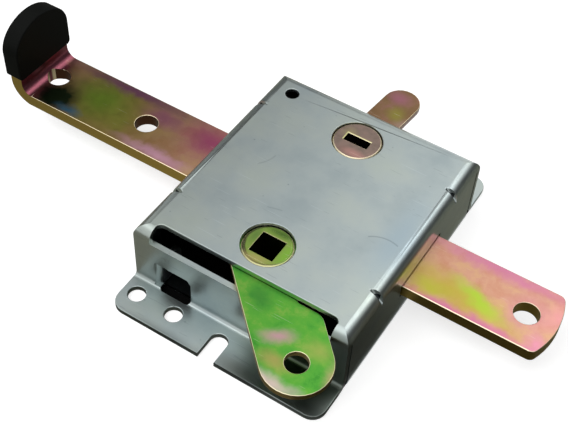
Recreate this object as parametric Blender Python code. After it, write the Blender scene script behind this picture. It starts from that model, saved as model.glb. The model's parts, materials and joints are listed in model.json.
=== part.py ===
"""Garage door latch: a slide bolt in a pressed steel case, with a cable lever and a key lock lever.

The bolt runs along X and locks towards +X. Z points away from the door. Z = 0 is the underside of the
case's flanges, and X = Y = 0 is the middle of the case. The latch stands with its bolt drawn back.
"""
from math import acos, asin, atan, cos, pi, radians, sin, sqrt, tan

import bmesh
import bpy
from mathutils import Matrix, Vector

MM = 0.001

# Clearances
SEAT_GAP = 0.3 * MM             # between pieces that rest on each other
SLIDE_GAP = 0.4 * MM            # under the bolt in its wall slots
SLIDE_GAP_TOP = 0.9 * MM        # over the bolt
SLIDE_GAP_SIDE = 1.0 * MM       # beside the bolt

# Pressed case
SHEET = 1.9 * MM
CASE_LENGTH = 79.4 * MM         # along X
CASE_HEIGHT = 26.0 * MM
NEAR_WALL_TO_SPINDLE = 17.7 * MM
SPINDLE_TO_BOLT = 17.9 * MM     # to the bolt's near edge
BOLT_TO_KEY = 12.6 * MM         # from the bolt's far edge
KEY_TO_FAR_WALL = 15.8 * MM
BEND_RADIUS = 4.0 * MM          # outside of the bends round the face
FLANGE_WIDTH = 14.9 * MM
FLANGE_BEND = 1.6 * MM          # hollow side of the bend between wall and flange
FLANGE_CORNER = 5.0 * MM
SEAM_GAP = 0.9 * MM             # between the end walls and the long walls

# Holes in the face and the flanges
FACE_HOLE = 17.8 * MM
SMALL_HOLE = 5.0 * MM
SMALL_HOLE_INSET = 9.0 * MM     # from the end wall
SMALL_HOLE_ASIDE = 7.0 * MM     # from the key hub's axis, towards the far wall
SCREW_HOLE = 6.1 * MM
END_HOLE_INSET = 5.3 * MM       # from the end of the flange
MIDDLE_HOLE_X = 19.7 * MM
SCREW_HOLE_INSET = 8.0 * MM     # from the flange's outer edge
OPEN_SLOT_WIDTH = 6.2 * MM
OPEN_SLOT_DEPTH = 10.4 * MM
OPEN_SLOT_X = -1.6 * MM

# Wall slots that the two levers come out of
LEVER_SLOT_INSET = 6.3 * MM     # from the end walls
LEVER_SLOT_INTO_FACE = 5.9 * MM  # from the outside of the wall
LOCK_SLOT_LEFT = -9.5 * MM
LOCK_SLOT_RIGHT = 24.5 * MM
LOCK_SLOT_BELOW = 1.6 * MM      # room under the lock lever
LOCK_SLOT_ABOVE = 0.5 * MM      # and over it
LOCK_SLOT_CORNER = 1.0 * MM
LEVER_SLOT_CORNER = 2.2 * MM
BOLT_SLOT_CORNER = 0.9 * MM

# Window in the near wall, and the ear that is bent in from it
WINDOW_INSET = 10.1 * MM        # from the left end wall
WINDOW_WIDTH = 12.0 * MM
WINDOW_TOP = 12.6 * MM
WINDOW_CORNER = 1.3 * MM
WINDOW_SLOPE = 1.8 * MM         # height of the window's slanted corner
WINDOW_INTO_FLANGE = 1.6 * MM
EAR_LENGTH = 9.5 * MM
EAR_BOTTOM = 2.4 * MM
EAR_ROUND = 3.0 * MM
EAR_BEND = 2.5 * MM             # outside of the ear's bend
EAR_RELIEF = 0.2 * MM           # how far the ear's edges stay off the window's

# Pressed darts that stiffen the end bends
NEAR_DART_ASIDE = 2.8 * MM      # from the spindle's axis, towards the bolt
FAR_DART_ASIDE = 2.7 * MM       # from the key hub's axis, towards the bolt
DART_LENGTH = 4.7 * MM          # on the face and on the wall
DART_WIDTH = 2.2 * MM

# Back plate
PLATE = 1.6 * MM
TONGUE_Y = 8.0 * MM
TONGUE_HALF = 7.0 * MM

# Bolt
BOLT_WIDTH = 25.4 * MM
BOLT_THICKNESS = 4.76 * MM
BOLT_LEVEL = 0.4658             # its middle's share of the room between the back plate and the face
BOLT_OUT = 48.2 * MM            # how far its locking end stands out of the case when drawn back
BOLT_END_ARC = 30.0 * MM
BOLT_END_CORNER = 2.5 * MM
BOLT_HOLE = 8.5 * MM
END_HOLE_TO_TIP = 10.7 * MM
PIN_HOLE_TO_CASE = 31.7 * MM
CORD_HOLE_TO_BACK = 10.0 * MM   # from the back of the hook
CORD_HOLE_ASIDE = 1.2 * MM
BOLT_EDGE = 0.35 * MM
HOOK_OUT = 82.8 * MM            # from the case to the back of the hook
HOOK_BEND = 3.8 * MM            # inside of the bend
HOOK_HEIGHT = 31.3 * MM         # over the bolt's underside
HOOK_ARCH = 9.6 * MM            # height of the rounded top of the hook

# Rubber cap on the hook
CAP_WALL = 0.8 * MM
CAP_DEPTH = 20.4 * MM           # how much of the hook it covers
CAP_ROUND = 0.6 * MM
CAP_CORNER = 1.0 * MM

# Hub with the square socket, and the cable lever on it
SPINDLE_X = -0.2 * MM
SOCKET = 8.8 * MM
BOSS = 17.1 * MM
SPINDLE_BOSS_BELOW = 1.0 * MM   # from the face down to the hub's top
KEY_BOSS_BELOW = 0.3 * MM
BOSS_EDGE = 0.4 * MM
SPINDLE_TENON = 15.0 * MM
SPINDLE_FLATS = 12.8 * MM
LEVER_THICKNESS = 2.3 * MM
LEVER_EDGE = 0.3 * MM
LEVER_RING = 12.6 * MM          # radius
LEVER_REACH = 43.0 * MM
LEVER_END = 11.3 * MM           # radius
LEVER_HOLE = 7.5 * MM
LEVER_REST = radians(-45.7)     # direction of the outer arm
SHOULDER_AT = 28.1 * MM
SHOULDER_ROUND = 5.0 * MM
NECK_HALF = 5.0 * MM
NECK_ROUND = 2.0 * MM
INNER_HALF = 7.8 * MM
SLEEVE_WALL = 2.2 * MM

# Drive stud on the bolt, in the slot of the lever's inner arm
STUD_INSET = 5.1 * MM           # from the bolt's near edge
SWING_IN = radians(44.3)        # inner arm's angle from +Y with the bolt drawn back
SWING_OUT = radians(42.2)       # and with the bolt out
BUSH = 7.0 * MM
BUSH_PLAY = 0.35 * MM           # round the bush in the lever's slot
SLOT_END_WALL = 2.2 * MM
STUD_PIN = 4.2 * MM
STUD_SHOULDER = 9.0 * MM
STUD_TENON = 5.0 * MM
STUD_HEAD = 7.2 * MM
STUD_HEAD_DEPTH = 1.2 * MM
STUD_PATH_STEPS = 16

# Key hub, lock lever and deadlock pawl
KEY_X = 0.0 * MM
KEY_SLOT_LENGTH = 9.0 * MM
KEY_SLOT_WIDTH = 3.6 * MM
KEY_TENON = 13.0 * MM
KEY_FLATS = 11.0 * MM
LOCK_RING = 10.5 * MM           # radius
LOCK_HALF = 6.65 * MM
LOCK_REACH = 27.7 * MM
LOCK_REST = radians(84.5)
PAWL_RING = 9.2 * MM            # radius
PAWL_HALF = 4.0 * MM
PAWL_REACH = 16.5 * MM
PAWL_REST = radians(-16.0)
LOCK_SWING = radians(35.0)
NOTCH_PLAY = 1.8 * MM
NOTCH_FLOOR = 0.4 * MM

# Snap rings, wave washers, friction leaf and its rivets
RING_THICKNESS = 1.0 * MM
RING_GROOVE = 0.9 * MM          # depth below the tenon's outside
RING_WIDTH = 2.3 * MM
RING_MOUTH = radians(28)
WAVE_THICKNESS = 0.5 * MM
WAVE_HEIGHT = 0.35 * MM
WAVES = 3
LEAF_THICKNESS = 0.6 * MM
LEAF_WIDTH = 12.0 * MM
LEAF_HALF_ARCH = 14.0 * MM
LEAF_FOOT = 7.0 * MM
RIVET = 2.8 * MM
RIVET_HEAD = 5.2 * MM
RIVET_HEAD_HEIGHT = 1.2 * MM
RIVET_FLARE = 1.1 * MM          # how much wider the closed end is, all round
RIVET_FLARE_DEPTH = 0.9 * MM
RIVET_RIM = 0.3                 # the share of the head's height that its straight rim takes

# Steps in a round and in a bend
ROUND_STEPS = 32
BEND_STEPS = 6
ARCH_STEPS = 24
SHARP = radians(28)
CORNER_SHARE = 0.49             # the most that a rounded corner takes of a side
FLAT_SHARE = 0.999              # the most that two flats leave of a round's width
WELD = 0.01 * MM                # corners that a cut leaves closer than this become one

# Worked out from the sizes above
HALF_LENGTH = CASE_LENGTH / 2
CASE_WIDTH = NEAR_WALL_TO_SPINDLE + SPINDLE_TO_BOLT + BOLT_WIDTH + BOLT_TO_KEY + KEY_TO_FAR_WALL
HALF_WIDTH = CASE_WIDTH / 2
SPINDLE_Y = NEAR_WALL_TO_SPINDLE - HALF_WIDTH
KEY_Y = HALF_WIDTH - KEY_TO_FAR_WALL
BOLT_NEAR = SPINDLE_Y + SPINDLE_TO_BOLT
BOLT_FAR = KEY_Y - BOLT_TO_KEY
BOLT_Y = (BOLT_NEAR + BOLT_FAR) / 2
FLANGE_EDGE = HALF_WIDTH + FLANGE_WIDTH
INNER_X = HALF_LENGTH - SHEET
INNER_Y = HALF_WIDTH - SHEET
FACE_UNDER = CASE_HEIGHT - SHEET
LEVER_TOP = FACE_UNDER - SEAT_GAP
LEVER_BOTTOM = LEVER_TOP - LEVER_THICKNESS
RING_TOP = LEVER_BOTTOM - SEAT_GAP
RING_BOTTOM = RING_TOP - RING_THICKNESS
BOLT_BOTTOM = PLATE + BOLT_LEVEL * (FACE_UNDER - PLATE) - BOLT_THICKNESS / 2
BOLT_TOP = BOLT_BOTTOM + BOLT_THICKNESS
BOLT_TIP = HALF_LENGTH + BOLT_OUT
HOOK_BACK = -HALF_LENGTH - HOOK_OUT
HOOK_INSIDE = HOOK_BACK + BOLT_THICKNESS
HOOK_TOP = BOLT_BOTTOM + HOOK_HEIGHT
CAP_BOTTOM = HOOK_TOP - CAP_DEPTH
STUD_REACH = SPINDLE_TO_BOLT + STUD_INSET
STUD_X = SPINDLE_X - STUD_REACH * tan(SWING_IN)
STUD_Y = SPINDLE_Y + STUD_REACH
TRAVEL = STUD_REACH * (tan(SWING_IN) + tan(SWING_OUT))
PAWL_BOTTOM = BOLT_BOTTOM + SEAT_GAP
PAWL_TOP = BOLT_TOP - SEAT_GAP
HUB_BOTTOM = SEAT_GAP
WAVE_TOP = PLATE + SEAT_GAP + WAVE_THICKNESS + 2 * WAVE_HEIGHT
WINDOW_LEFT = WINDOW_INSET - HALF_LENGTH
LEVER_SLOT_HALF = HALF_LENGTH - LEVER_SLOT_INSET
SCREW_HOLE_XS = (END_HOLE_INSET - HALF_LENGTH, -MIDDLE_HOLE_X, MIDDLE_HOLE_X)
DART_YS = (SPINDLE_Y + NEAR_DART_ASIDE, KEY_Y - FAR_DART_ASIDE)
FAR = CASE_LENGTH + CASE_WIDTH  # past the ends of anything that a tool cuts


def clear_scene():
    for obj in list(bpy.data.objects):
        bpy.data.objects.remove(obj, do_unlink=True)


def finish(name, colour, metallic, roughness):
    """A Principled material, made once for each name."""
    mat = bpy.data.materials.get(name) or bpy.data.materials.new(name)
    mat.use_nodes = True
    shader = mat.node_tree.nodes["Principled BSDF"]
    shader.inputs["Base Color"].default_value = (*colour, 1.0)
    shader.inputs["Metallic"].default_value = metallic
    shader.inputs["Roughness"].default_value = roughness
    return mat


def clear_zinc():
    return finish("clear_zinc", (0.56, 0.60, 0.62), 1.0, 0.32)


def yellow_zinc():
    return finish("yellow_zinc", (0.66, 0.52, 0.26), 1.0, 0.30)


def green_zinc():
    return finish("green_zinc", (0.40, 0.58, 0.30), 1.0, 0.30)


def spring_steel():
    return finish("spring_steel", (0.42, 0.43, 0.45), 1.0, 0.35)


def black_rubber():
    return finish("black_rubber", (0.02, 0.02, 0.02), 0.0, 0.55)


def arc(centre, radius, start, end, steps):
    """Points on an arc, with both its ends."""
    angles = [start + (end - start) * i / steps for i in range(steps + 1)]
    return [(centre[0] + radius * cos(a), centre[1] + radius * sin(a)) for a in angles]


def circle(centre, radius):
    return arc(centre, radius, 0, 2 * pi * (ROUND_STEPS - 1) / ROUND_STEPS, ROUND_STEPS - 1)


def rounded(corners, steps=BEND_STEPS):
    """A polygon from (x, y, radius) corners, with an arc at each corner that has a radius."""
    points = []
    for i, (x, y, radius) in enumerate(corners):
        here = Vector((x, y))
        before = Vector(corners[i - 1][:2]) - here
        after = Vector(corners[(i + 1) % len(corners)][:2]) - here
        if radius <= 0:
            points.append((x, y))
            continue
        half = before.angle(after) / 2
        back = min(radius / tan(half), before.length * CORNER_SHARE, after.length * CORNER_SHARE)
        centre = here + (before.normalized() + after.normalized()).normalized() * back / cos(half)
        first = here + before.normalized() * back - centre
        last = here + after.normalized() * back - centre
        turn = first.angle_signed(last)
        for k in range(steps + 1):
            points.append(tuple(centre + Matrix.Rotation(-turn * k / steps, 2) @ first))
    return points


def oblong(x0, x1, y0, y1, radius=0.0):
    return rounded([(x0, y0, radius), (x1, y0, radius), (x1, y1, radius), (x0, y1, radius)])


def flatted(radius, flats):
    """A circle with two flats that face -Y and +Y."""
    half = asin(min(flats / 2 / radius, FLAT_SHARE))
    return arc((0, 0), radius, -half, half, 10) + arc((0, 0), radius, pi - half, pi + half, 10)


def corner_waste(x, y, x_side, y_side, radius):
    """What a round takes off a square corner that points towards x_side and y_side."""
    cx, cy = x - x_side * radius, y - y_side * radius
    curve = [(cx + x_side * radius * cos(a), cy + y_side * radius * sin(a))
             for a in (pi / 2 * i / BEND_STEPS for i in range(BEND_STEPS + 1))]
    beyond_x, beyond_y = x + x_side * radius, y + y_side * radius
    return curve + [(cx, beyond_y), (beyond_x, beyond_y), (beyond_x, cy)]


def hull(points):
    """The convex outline round some points."""
    points = sorted(set(points))
    sides = []
    for run in (points, points[::-1]):
        side = []
        for p in run:
            while len(side) > 1:
                a, b = side[-2:]
                if (b[0] - a[0]) * (p[1] - a[1]) - (b[1] - a[1]) * (p[0] - a[0]) > 1e-12:
                    break
                side.pop()
            side.append(p)
        sides += side[:-1]
    return sides


def placed(outline, turn, centre):
    """An outline turned about its own origin and moved to a centre."""
    spin = Matrix.Rotation(turn, 2)
    return [tuple(spin @ Vector(p) + Vector(centre)) for p in outline]


def along_x(u, v, w):
    return (w, u, v)


def along_y(u, v, w):
    return (u, w, v)


def along_z(u, v, w):
    return (u, v, w)


def prism_mesh(name, outline, low, high, place):
    """A closed prism. place puts the outline's two directions and the depth on the row's axes."""
    bm = bmesh.new()
    rings = [[bm.verts.new(place(u, v, w)) for u, v in outline] for w in (low, high)]
    bm.faces.new(rings[0])
    bm.faces.new(rings[1])
    for i in range(len(outline)):
        j = (i + 1) % len(outline)
        bm.faces.new((rings[0][i], rings[0][j], rings[1][j], rings[1][i]))
    bmesh.ops.recalc_face_normals(bm, faces=bm.faces)
    mesh = bpy.data.meshes.new(name)
    bm.to_mesh(mesh)
    bm.free()
    return mesh


def turned_mesh(name, profile, centre):
    """A turned shape from (radius, z) points. It closes over its axis, or round its bore."""
    bm = bmesh.new()
    rings = []
    for radius, z in profile:
        if radius:
            rings.append([bm.verts.new((x, y, z)) for x, y in circle(centre, radius)])
        else:
            rings.append([bm.verts.new((centre[0], centre[1], z))] * ROUND_STEPS)
    pairs = list(zip(rings, rings[1:]))
    if profile[0][0]:
        pairs.append((rings[-1], rings[0]))
    for lower, upper in pairs:
        for i in range(ROUND_STEPS):
            j = (i + 1) % ROUND_STEPS
            corners = dict.fromkeys((lower[i], lower[j], upper[j], upper[i]))
            bm.faces.new(tuple(corners))
    bmesh.ops.recalc_face_normals(bm, faces=bm.faces)
    mesh = bpy.data.meshes.new(name)
    bm.to_mesh(mesh)
    bm.free()
    return mesh


def add(name, mesh, mat=None):
    obj = bpy.data.objects.new(name, mesh)
    bpy.context.scene.collection.objects.link(obj)
    if mat:
        mesh.materials.append(mat)
    return obj


def prism(name, mat, outline, low, high, place=along_z):
    return add(name, prism_mesh(name, outline, low, high, place), mat)


def turned(name, mat, profile, centre):
    return add(name, turned_mesh(name, profile, centre), mat)


def use_tool(obj, mesh, operation="DIFFERENCE"):
    """Cuts an object with a hidden tool, joins the tool to it or keeps what both share."""
    tool = add(obj.name + "_tool", mesh)
    tool.hide_render = True
    tool.display_type = "WIRE"
    step = obj.modifiers.new(operation.lower(), "BOOLEAN")
    step.operation = operation
    step.solver = "EXACT"
    step.object = tool


def cut(obj, outline, low, high, place=along_z):
    use_tool(obj, prism_mesh("cut", outline, low, high, place))


def join(obj, outline, low, high, place=along_z):
    use_tool(obj, prism_mesh("join", outline, low, high, place), "UNION")


def drill(obj, x, y, diameter, low=-FAR, high=FAR):
    cut(obj, circle((x, y), diameter / 2), low, high)


def soften(obj, width):
    """Rounds the edges a little, as shearing and tumbling do."""
    step = obj.modifiers.new("soften", "BEVEL")
    step.width = width
    step.segments = 2
    step.limit_method = "ANGLE"
    step.angle_limit = radians(40)


def complete(obj, pivot=(0, 0)):
    """Applies the modifiers, clears the tools away, and puts the origin on the joint's axis."""
    bpy.context.view_layer.update()
    solid = obj.evaluated_get(bpy.context.evaluated_depsgraph_get())
    mesh = bpy.data.meshes.new_from_object(solid)
    bm = bmesh.new()
    bm.from_mesh(mesh)
    bmesh.ops.remove_doubles(bm, verts=bm.verts, dist=WELD)
    bmesh.ops.dissolve_degenerate(bm, edges=bm.edges, dist=WELD)
    bm.to_mesh(mesh)
    bm.free()
    tools = [step.object for step in obj.modifiers if step.type == "BOOLEAN"]
    obj.modifiers.clear()
    for tool in tools:
        bpy.data.objects.remove(tool, do_unlink=True)
    mesh.name = obj.name
    mesh.transform(Matrix.Translation((-pivot[0], -pivot[1], 0)))
    mesh.shade_smooth()
    mesh.set_sharp_from_angle(angle=SHARP)
    obj.data = mesh
    obj.location = (pivot[0], pivot[1], 0)
    return obj


def outside_profile():
    """The case across its width, filled down to the door: flange, wall, face, wall and flange."""
    foot = (HALF_WIDTH + FLANGE_BEND, SHEET + FLANGE_BEND)
    crown = (HALF_WIDTH - BEND_RADIUS, CASE_HEIGHT - BEND_RADIUS)
    side = [(FLANGE_EDGE, 0), (FLANGE_EDGE, SHEET)]
    side += arc(foot, FLANGE_BEND, 1.5 * pi, pi, BEND_STEPS)
    side += arc(crown, BEND_RADIUS, 0, pi / 2, BEND_STEPS)
    return side + [(-y, z) for y, z in reversed(side)]


def hollow_mesh():
    """The room inside the four walls, with rounds where the face bends down."""
    inner = BEND_RADIUS - SHEET
    roof = [(-INNER_Y, -FAR, 0), (INNER_Y, -FAR, 0), (INNER_Y, FACE_UNDER, inner), (-INNER_Y, FACE_UNDER, inner)]
    room = add("room", prism_mesh("room", rounded(roof), -INNER_X, INNER_X, along_x))
    for side in (-1, 1):
        cut(room, corner_waste(side * INNER_X, FACE_UNDER, side, 1, inner), -FAR, FAR, along_y)
    complete(room)
    mesh = room.data
    bpy.data.objects.remove(room, do_unlink=True)
    return mesh


def seam_outline(side):
    """The slit between an end wall and a long wall, and the room under the flange's bend."""
    foot = (HALF_WIDTH + FLANGE_BEND, SHEET + FLANGE_BEND)
    top = CASE_HEIGHT - BEND_RADIUS
    points = [(INNER_Y - SEAM_GAP, -SHEET), (INNER_Y - SEAM_GAP, top), (INNER_Y, top)]
    points += arc(foot, SHEET + FLANGE_BEND, pi, 1.5 * pi, BEND_STEPS)
    points += [(foot[0], -SHEET)]
    return [(side * y, z) for y, z in points]


def across_bend(side, y):
    """Places a groove that runs down across an end bend at 45 degrees."""
    def place(u, v, w):
        x = HALF_LENGTH - DART_LENGTH / 2 + (v + w) / sqrt(2)
        return (side * x, y + u, CASE_HEIGHT - DART_LENGTH / 2 + (v - w) / sqrt(2))
    return place


def add_dart(case, side, y):
    """A pressed dart: a pocket across the bend, with its metal pushed through to the inside."""
    lap = SHEET * 0.2
    run = DART_LENGTH + SHEET * (sqrt(2) - 1)
    inside = [(HALF_LENGTH - run - lap, FACE_UNDER + lap), (INNER_X + lap, CASE_HEIGHT - run - lap),
              (INNER_X + lap, FACE_UNDER + lap)]
    half = DART_WIDTH / 2
    join(case, [(side * x, z) for x, z in inside], y - half - SHEET / 2, y + half + SHEET / 2, along_y)
    depth = DART_LENGTH / sqrt(2) - BEND_RADIUS * (sqrt(2) - 1)
    groove = [(half * k / 4, depth * (k / 4) ** 2) for k in range(-6, 7)]
    cut(case, groove, -DART_LENGTH, DART_LENGTH, across_bend(side, y))


def add_window(case):
    """The window in the near wall and the flange's bend, and the ear that is bent in from it."""
    right = WINDOW_LEFT + WINDOW_WIDTH
    low = SHEET + FLANGE_BEND / 2
    pane = [(WINDOW_LEFT, low), (right, low), (right, WINDOW_TOP - WINDOW_SLOPE),
            (right - WINDOW_CORNER, WINDOW_TOP), (WINDOW_LEFT, WINDOW_TOP)]
    cut(case, pane, -FAR, SHEET - INNER_Y, along_y)
    foot = oblong(WINDOW_LEFT, right, -HALF_WIDTH - WINDOW_INTO_FLANGE, SHEET - INNER_Y, WINDOW_INTO_FLANGE)
    cut(case, foot, -FAR, low + SHEET / 2)
    start, end = -HALF_WIDTH + SHEET / 4, EAR_LENGTH - INNER_Y
    ear_face, ear_top = WINDOW_LEFT + EAR_RELIEF, WINDOW_TOP - EAR_RELIEF
    ear = rounded([(start, EAR_BOTTOM, 0), (end, EAR_BOTTOM, EAR_ROUND), (end, ear_top, EAR_ROUND),
                   (start, ear_top, 0)])
    join(case, ear, ear_face - SHEET, ear_face, along_x)
    bend = corner_waste(ear_face, -HALF_WIDTH, 1, -1, EAR_BEND)
    cut(case, bend, EAR_BOTTOM - EAR_RELIEF, WINDOW_TOP + EAR_RELIEF)


def make_case():
    case = prism("case", clear_zinc(), outside_profile(), -HALF_LENGTH, HALF_LENGTH, along_x)
    for side in (-1, 1):
        cut(case, corner_waste(side * HALF_LENGTH, CASE_HEIGHT, side, 1, BEND_RADIUS), -FAR, FAR, along_y)
        for edge in (-1, 1):
            cut(case, corner_waste(side * HALF_LENGTH, edge * FLANGE_EDGE, side, edge, FLANGE_CORNER), -FAR, FAR)
    use_tool(case, hollow_mesh())
    for side in (-1, 1):
        cut(case, seam_outline(side), -FAR, FAR, along_x)
        for y in DART_YS:
            add_dart(case, side, y)
    add_window(case)
    complete(case)

    edge = LEVER_SLOT_INTO_FACE - HALF_WIDTH
    cut(case, oblong(-LEVER_SLOT_HALF, LEVER_SLOT_HALF, -FAR, edge, LEVER_SLOT_CORNER), RING_TOP, FAR)
    slot = oblong(LOCK_SLOT_LEFT, LOCK_SLOT_RIGHT, LEVER_BOTTOM - LOCK_SLOT_BELOW, LEVER_TOP + LOCK_SLOT_ABOVE,
                  LOCK_SLOT_CORNER)
    cut(case, slot, HALF_WIDTH - BEND_RADIUS - SEAT_GAP, FAR, along_y)
    slot = oblong(BOLT_NEAR - SLIDE_GAP_SIDE, BOLT_FAR + SLIDE_GAP_SIDE, BOLT_BOTTOM - SLIDE_GAP,
                  BOLT_TOP + SLIDE_GAP_TOP, BOLT_SLOT_CORNER)
    cut(case, slot, -FAR, FAR, along_x)
    notch = oblong(TONGUE_Y - TONGUE_HALF - SEAT_GAP, TONGUE_Y + TONGUE_HALF + SEAT_GAP, -SHEET, PLATE + SEAT_GAP)
    cut(case, notch, -FAR, FAR, along_x)

    drill(case, SPINDLE_X, SPINDLE_Y, FACE_HOLE)
    drill(case, KEY_X, KEY_Y, FACE_HOLE)
    drill(case, SMALL_HOLE_INSET - HALF_LENGTH, KEY_Y + SMALL_HOLE_ASIDE, SMALL_HOLE)
    for side in (-1, 1):
        y = side * (FLANGE_EDGE - SCREW_HOLE_INSET)
        half = OPEN_SLOT_WIDTH / 2
        inner = side * (FLANGE_EDGE - OPEN_SLOT_DEPTH)
        mouth = oblong(OPEN_SLOT_X - half, OPEN_SLOT_X + half, inner, side * FAR, half * FLAT_SHARE)
        cut(case, mouth, -SHEET, 2 * SHEET)
        for x in SCREW_HOLE_XS:
            drill(case, x, y, SCREW_HOLE)
    return complete(case)


def make_back_plate():
    """The plate between the walls. It carries the hubs' lower ends, and its tongues sit in the end walls."""
    half_x, half_y = INNER_X - SEAT_GAP, INNER_Y - SEAT_GAP
    plate = prism("back_plate", clear_zinc(), oblong(-half_x, half_x, -half_y, half_y), 0, PLATE)
    reach = HALF_LENGTH - SEAT_GAP
    join(plate, oblong(-reach, reach, TONGUE_Y - TONGUE_HALF, TONGUE_Y + TONGUE_HALF), 0, PLATE)
    drill(plate, SPINDLE_X, SPINDLE_Y, SPINDLE_TENON + 2 * SEAT_GAP)
    drill(plate, KEY_X, KEY_Y, KEY_TENON + 2 * SEAT_GAP)
    for x in rivet_xs():
        low, high = RIVET / 2 + SEAT_GAP, RIVET / 2 + RIVET_FLARE + SEAT_GAP
        seat = [(0, -SHEET), (high, -SHEET), (high, HUB_BOTTOM), (low, HUB_BOTTOM + RIVET_FLARE_DEPTH), (low, SHEET)]
        use_tool(plate, turned_mesh("seat", seat + [(0, SHEET)], (x, BOLT_Y)))
    return complete(plate)


def make_bolt():
    """The bar with its hook bent up at the left end."""
    outer = HOOK_BEND + BOLT_THICKNESS
    side = rounded([(HOOK_BACK, HOOK_TOP, 0), (HOOK_BACK, BOLT_BOTTOM, outer), (BOLT_TIP, BOLT_BOTTOM, 0),
                    (BOLT_TIP, BOLT_TOP, 0), (HOOK_INSIDE, BOLT_TOP, HOOK_BEND), (HOOK_INSIDE, HOOK_TOP, 0)], 8)
    bolt = prism("bolt", yellow_zinc(), side, BOLT_NEAR, BOLT_FAR, along_y)

    half = BOLT_WIDTH / 2
    sweep = asin((half - BOLT_END_CORNER) / (BOLT_END_ARC - BOLT_END_CORNER))
    middle = BOLT_TIP - BOLT_END_ARC
    nose = arc((middle, BOLT_Y), BOLT_END_ARC, -sweep, sweep, 10)
    corner_x = middle + (BOLT_END_ARC - BOLT_END_CORNER) * cos(sweep)
    upper = arc((corner_x, BOLT_FAR - BOLT_END_CORNER), BOLT_END_CORNER, sweep, pi / 2, BEND_STEPS)[1:]
    lower = [(x, 2 * BOLT_Y - y) for x, y in reversed(upper)]
    end = lower + nose + upper
    around = [(corner_x, BOLT_FAR + half), (BOLT_TIP + half, BOLT_FAR + half)]
    around += [(x, 2 * BOLT_Y - y) for x, y in reversed(around)]
    cut(bolt, end + around, -FAR, FAR)

    spring = HOOK_TOP - HOOK_ARCH
    above = [(BOLT_Y - 2 * half, spring), (BOLT_Y - 2 * half, HOOK_TOP + half), (BOLT_Y + 2 * half, HOOK_TOP + half),
             (BOLT_Y + 2 * half, spring)]
    cut(bolt, arch(0) + above, HOOK_BACK - half, HOOK_INSIDE + HOOK_BEND, along_x)

    drill(bolt, BOLT_TIP - END_HOLE_TO_TIP, BOLT_Y, BOLT_HOLE)
    drill(bolt, -HALF_LENGTH - PIN_HOLE_TO_CASE, BOLT_Y, BOLT_HOLE)
    drill(bolt, HOOK_BACK + CORD_HOLE_TO_BACK, BOLT_Y + CORD_HOLE_ASIDE, BOLT_HOLE, -FAR, BOLT_TOP + HOOK_BEND)
    seat = [(0, 0), (STUD_HEAD / 2 + SEAT_GAP, 0), (STUD_HEAD / 2 + SEAT_GAP, BOLT_BOTTOM),
            (STUD_TENON / 2 + SEAT_GAP, BOLT_BOTTOM + STUD_HEAD_DEPTH), (STUD_TENON / 2 + SEAT_GAP, CASE_HEIGHT),
            (0, CASE_HEIGHT)]
    use_tool(bolt, turned_mesh("seat", seat, (STUD_X, STUD_Y)))

    nose_from, nose_to = pawl_span()
    floor = KEY_Y + PAWL_REACH * sin(PAWL_REST - LOCK_SWING) - PAWL_HALF - NOTCH_FLOOR
    for shift in (0, TRAVEL):
        notch = oblong(nose_from - NOTCH_PLAY - shift, nose_to + NOTCH_PLAY - shift, floor, BOLT_FAR + half,
                       NOTCH_PLAY)
        cut(bolt, notch, -FAR, FAR)
    soften(bolt, BOLT_EDGE)
    return complete(bolt)


def pawl_span():
    """Where the pawl's nose starts and ends along the bolt when it locks."""
    x = KEY_X + PAWL_REACH * cos(PAWL_REST - LOCK_SWING)
    return x - PAWL_HALF, x + PAWL_HALF


def arch(margin):
    """The hook's rounded top from the end, grown by a margin all round."""
    half, rise = BOLT_WIDTH / 2 + margin, HOOK_ARCH + margin
    angles = [pi * i / ARCH_STEPS for i in range(ARCH_STEPS + 1)]
    return [(BOLT_Y + half * cos(a), HOOK_TOP - HOOK_ARCH + rise * sin(a)) for a in angles]


def make_grip_cap():
    """The soft cap that is pushed over the hook."""
    margin = SEAT_GAP + CAP_WALL
    near, far = BOLT_NEAR - margin, BOLT_FAR + margin
    outline = arch(margin) + [(near, CAP_BOTTOM + CAP_CORNER), (near + CAP_CORNER, CAP_BOTTOM),
                              (far - CAP_CORNER, CAP_BOTTOM), (far, CAP_BOTTOM + CAP_CORNER)]
    cap = prism("grip_cap", black_rubber(), outline, HOOK_BACK - margin, HOOK_INSIDE + margin, along_x)
    soften(cap, CAP_ROUND)
    room = arch(SEAT_GAP) + [(BOLT_NEAR - SEAT_GAP, BOLT_BOTTOM), (BOLT_FAR + SEAT_GAP, BOLT_BOTTOM)]
    cut(cap, room, HOOK_BACK - SEAT_GAP, HOOK_INSIDE + SEAT_GAP, along_x)
    return complete(cap)


def make_stud():
    """The drive stud, riveted into the bolt, and the hard bush on its pin."""
    top = LEVER_TOP - SEAT_GAP
    shoulder_top = LEVER_BOTTOM - SEAT_GAP
    tenon, head = STUD_TENON / 2, STUD_HEAD / 2
    foot = BOLT_BOTTOM + SEAT_GAP / 2
    seat = BOLT_TOP + SEAT_GAP
    profile = [(0, foot), (head, foot), (tenon, foot + STUD_HEAD_DEPTH), (tenon, seat),
               (STUD_SHOULDER / 2, seat), (STUD_SHOULDER / 2, shoulder_top), (STUD_PIN / 2, shoulder_top),
               (STUD_PIN / 2, top), (0, top)]
    stud = turned("drive_stud", spring_steel(), profile, (STUD_X, STUD_Y))
    inner, outer = STUD_PIN / 2 + SEAT_GAP, BUSH / 2
    sleeve = [(inner, shoulder_top + SEAT_GAP), (outer, shoulder_top + SEAT_GAP), (outer, top), (inner, top)]
    bush = turned("stud_bush", spring_steel(), sleeve, (STUD_X, STUD_Y))
    return complete(stud, (STUD_X, STUD_Y)), complete(bush, (STUD_X, STUD_Y))


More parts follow.
